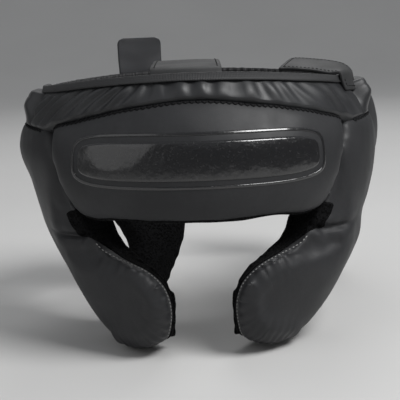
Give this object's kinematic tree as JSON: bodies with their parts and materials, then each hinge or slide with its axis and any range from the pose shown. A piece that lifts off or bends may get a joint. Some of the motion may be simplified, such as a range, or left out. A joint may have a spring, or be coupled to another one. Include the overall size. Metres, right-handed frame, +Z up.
{
  "type": "boxing headgear",
  "caption": "Padded full-face sparring headgear with cheek lobes, an open crown with fastening straps, and two hinged rear flaps that close with a wide elastic strap.",
  "frame": {"origin": "on the surface it stands on, below the centre of the head", "axes": "+Z up; the face opening looks along -Y; +X is the wearer's left; the wearer's left rear flap stands open at rest"},
  "size_m": [0.2664, 0.2847, 0.2001],
  "materials": {
    "cover_leather": "matt charcoal synthetic leather with a fine grain",
    "lining_mesh": "black spacer mesh",
    "core_foam": "closed-cell foam",
    "soft_foam": "soft open-cell foam",
    "crown_nylon": "gathered woven nylon",
    "binding_tape": "folded binding tape",
    "elastic": "ribbed woven elastic",
    "strap_webbing": "satin woven strap",
    "hook_tape": "hook fastener tape",
    "loop_tape": "loop fastener tape"
  },
  "bodies": {
    "shell": {"forehead_cover": "cover_leather", "forehead_core_foam": "core_foam", "forehead_soft_foam": "soft_foam", "forehead_liner": "lining_mesh", "left_side_cover": "cover_leather", "left_side_core_foam": "core_foam", "left_side_soft_foam": "soft_foam", "left_side_liner": "lining_mesh", "right_side_cover": "cover_leather", "right_side_core_foam": "core_foam", "right_side_soft_foam": "soft_foam", "right_side_liner": "lining_mesh", "crown_band": "crown_nylon", "crown_binding": "binding_tape", "rear_elastic": "elastic", "front_strap_anchor": "strap_webbing", "side_strap_anchor": "strap_webbing", "rear_tab_anchor": "strap_webbing"},
    "left_flap": {"left_rear_cover": "cover_leather", "left_rear_core_foam": "core_foam", "left_rear_liner": "lining_mesh", "left_nape_cover": "cover_leather", "left_nape_core_foam": "core_foam", "left_nape_liner": "lining_mesh", "closure_anchor": "elastic"},
    "right_flap": {"right_rear_cover": "cover_leather", "right_rear_core_foam": "core_foam", "right_rear_liner": "lining_mesh", "right_nape_cover": "cover_leather", "right_nape_core_foam": "core_foam", "right_nape_liner": "lining_mesh", "closure_loop_patch": "loop_tape"},
    "closure_strap": {"closure_elastic": "elastic", "closure_hook_patch": "hook_tape"},
    "front_strap": {"front_top_strap": "strap_webbing", "front_strap_hook_patch": "hook_tape"},
    "rear_tab": {"rear_tab": "strap_webbing", "rear_tab_loop_patch": "loop_tape"},
    "side_strap": {"side_top_strap": "strap_webbing"},
    "left_chin_strap": {"left_chin_strap": "strap_webbing", "left_chin_hook_patch": "hook_tape"},
    "right_chin_strap": {"right_chin_strap": "strap_webbing", "right_chin_loop_patch": "loop_tape"}
  },
  "joints": [
    {"name": "left_flap_hinge", "type": "hinge", "parent": "shell", "child": "left_flap", "pos_m": [0.1116, 0.02696, 0.12], "axis": [0, 0, -1], "range_deg": [-55, 10]},
    {"name": "right_flap_hinge", "type": "hinge", "parent": "shell", "child": "right_flap", "pos_m": [-0.1116, 0.02696, 0.12], "axis": [0, 0, 1], "range_deg": [0, 65]},
    {"name": "closure_strap_fold", "type": "hinge", "parent": "left_flap", "child": "closure_strap", "pos_m": [0.12869, 0.15798, 0.12], "axis": [0, 0, 1], "range_deg": [-75, 12]},
    {"name": "front_strap_lift", "type": "hinge", "parent": "shell", "child": "front_strap", "pos_m": [-0.006, -0.094, 0.1803], "axis": [1, 0, 0], "range_deg": [-2, 88]},
    {"name": "rear_tab_fold", "type": "hinge", "parent": "shell", "child": "rear_tab", "pos_m": [-0.04299, 0.08984, 0.1732], "axis": [-0.9121, -0.4099, 0], "range_deg": [-75, 20]},
    {"name": "side_strap_lift", "type": "hinge", "parent": "shell", "child": "side_strap", "pos_m": [0.1021, -0.03346, 0.1715], "axis": [0.3464, 0.9381, 0], "range_deg": [-2, 95]},
    {"name": "left_chin_strap_swing", "type": "hinge", "parent": "shell", "child": "left_chin_strap", "pos_m": [0.0622, -0.0175, 0.0417], "axis": [-0.4672, 0.1951, -0.8624], "range_deg": [0, 50]},
    {"name": "right_chin_strap_swing", "type": "hinge", "parent": "shell", "child": "right_chin_strap", "pos_m": [-0.0622, -0.0175, 0.0417], "axis": [-0.4672, -0.1951, 0.8624], "range_deg": [0, 50]}
  ]
}
